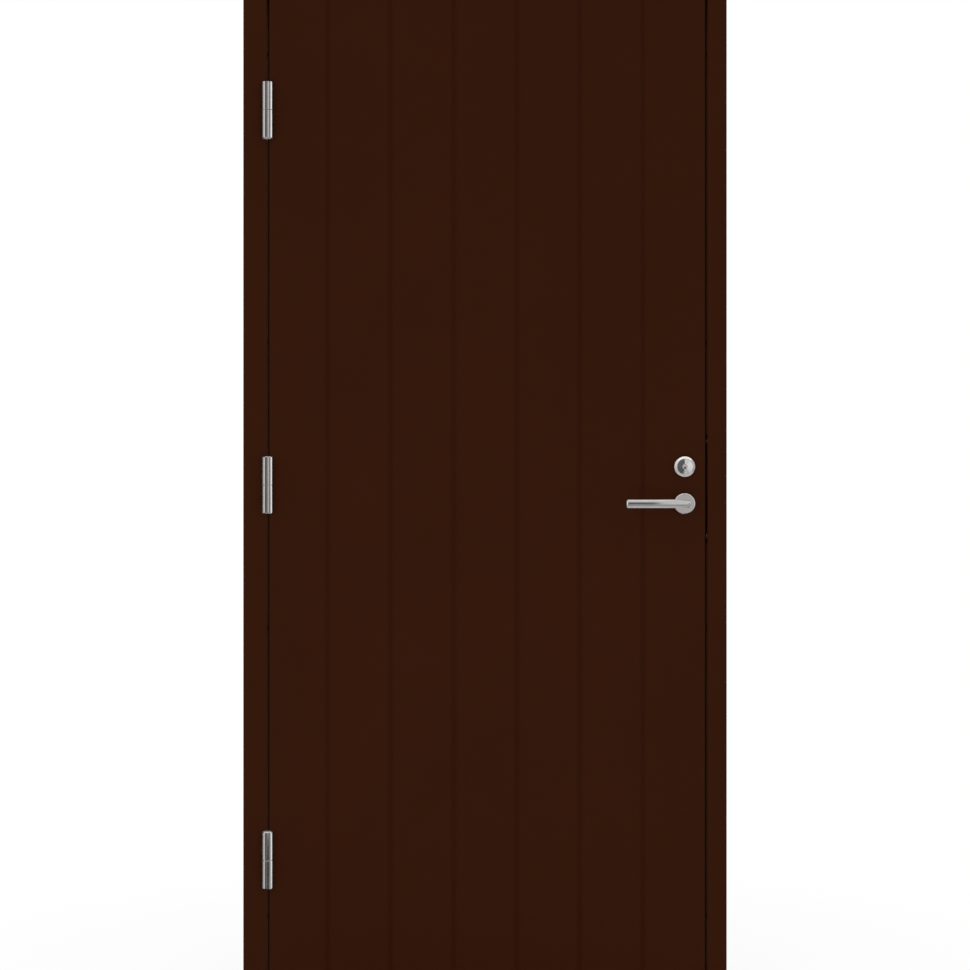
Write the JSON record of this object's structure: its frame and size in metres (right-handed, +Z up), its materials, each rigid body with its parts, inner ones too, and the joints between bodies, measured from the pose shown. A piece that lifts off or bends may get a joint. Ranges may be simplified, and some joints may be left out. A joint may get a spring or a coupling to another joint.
{
  "type": "storeroom door",
  "caption": "Outward opening storeroom door: a dark brown leaf with vertical V grooves on lift-off hinges, with a round lever and key cylinder, hung in its rebated timber frame.",
  "frame": {"origin": "under the middle of the sill: middle of the frame's width and depth, on its underside", "axes": "+X right seen from outside, +Y into the building, so the outer face looks along -Y, +Z up"},
  "size_m": [0.99, 0.165, 2.09],
  "materials": {
    "painted_timber": "satin dark brown paint",
    "threshold": "oiled hardwood",
    "aluminium": "mill finish",
    "seal": "matt black",
    "hinge_steel": "satin",
    "lock_steel": "satin zinc",
    "furniture_steel": "satin"
  },
  "bodies": {
    "frame": {"hinge_jamb": "painted_timber", "lock_jamb": "painted_timber", "frame_head": "painted_timber", "threshold": "threshold", "threshold_plate": "aluminium", "seal_hinge_side": "seal", "seal_lock_side": "seal", "seal_head": "seal", "seal_threshold": "seal", "strike_plate": "lock_steel", "hinge_top_frame_half": "hinge_steel", "hinge_middle_frame_half": "hinge_steel", "hinge_bottom_frame_half": "hinge_steel"},
    "leaf": {"front_skin": "painted_timber", "back_skin": "painted_timber", "hinge_stile": "painted_timber", "lock_stile": "painted_timber", "top_rail": "painted_timber", "bottom_rail": "painted_timber", "lock_case": "lock_steel", "latch_bolt": "lock_steel", "dead_bolt": "lock_steel", "rosette_outside": "furniture_steel", "rosette_inside": "furniture_steel", "cylinder_ring_outside": "furniture_steel", "cylinder_ring_inside": "furniture_steel", "key_cylinder_outside": "furniture_steel", "key_cylinder_inside": "furniture_steel", "hinge_top_leaf_half": "hinge_steel", "hinge_middle_leaf_half": "hinge_steel", "hinge_bottom_leaf_half": "hinge_steel"},
    "lever": {"lever_outside": "furniture_steel", "lever_inside": "furniture_steel", "spindle": "lock_steel"}
  },
  "joints": [
    {"name": "leaf_swing", "type": "hinge", "parent": "frame", "child": "leaf", "pos_m": [-0.4445, -0.058, 1.045], "axis": [0, 0, -1], "range_deg": [0, 170]},
    {"name": "lever_turn", "type": "hinge", "parent": "leaf", "child": "lever", "pos_m": [0.4085, -0.024, 1.007], "axis": [0, -1, 0], "range_deg": [0, 45], "stiffness_Nm_per_rad": 2.5, "springref_deg": -28.65}
  ]
}
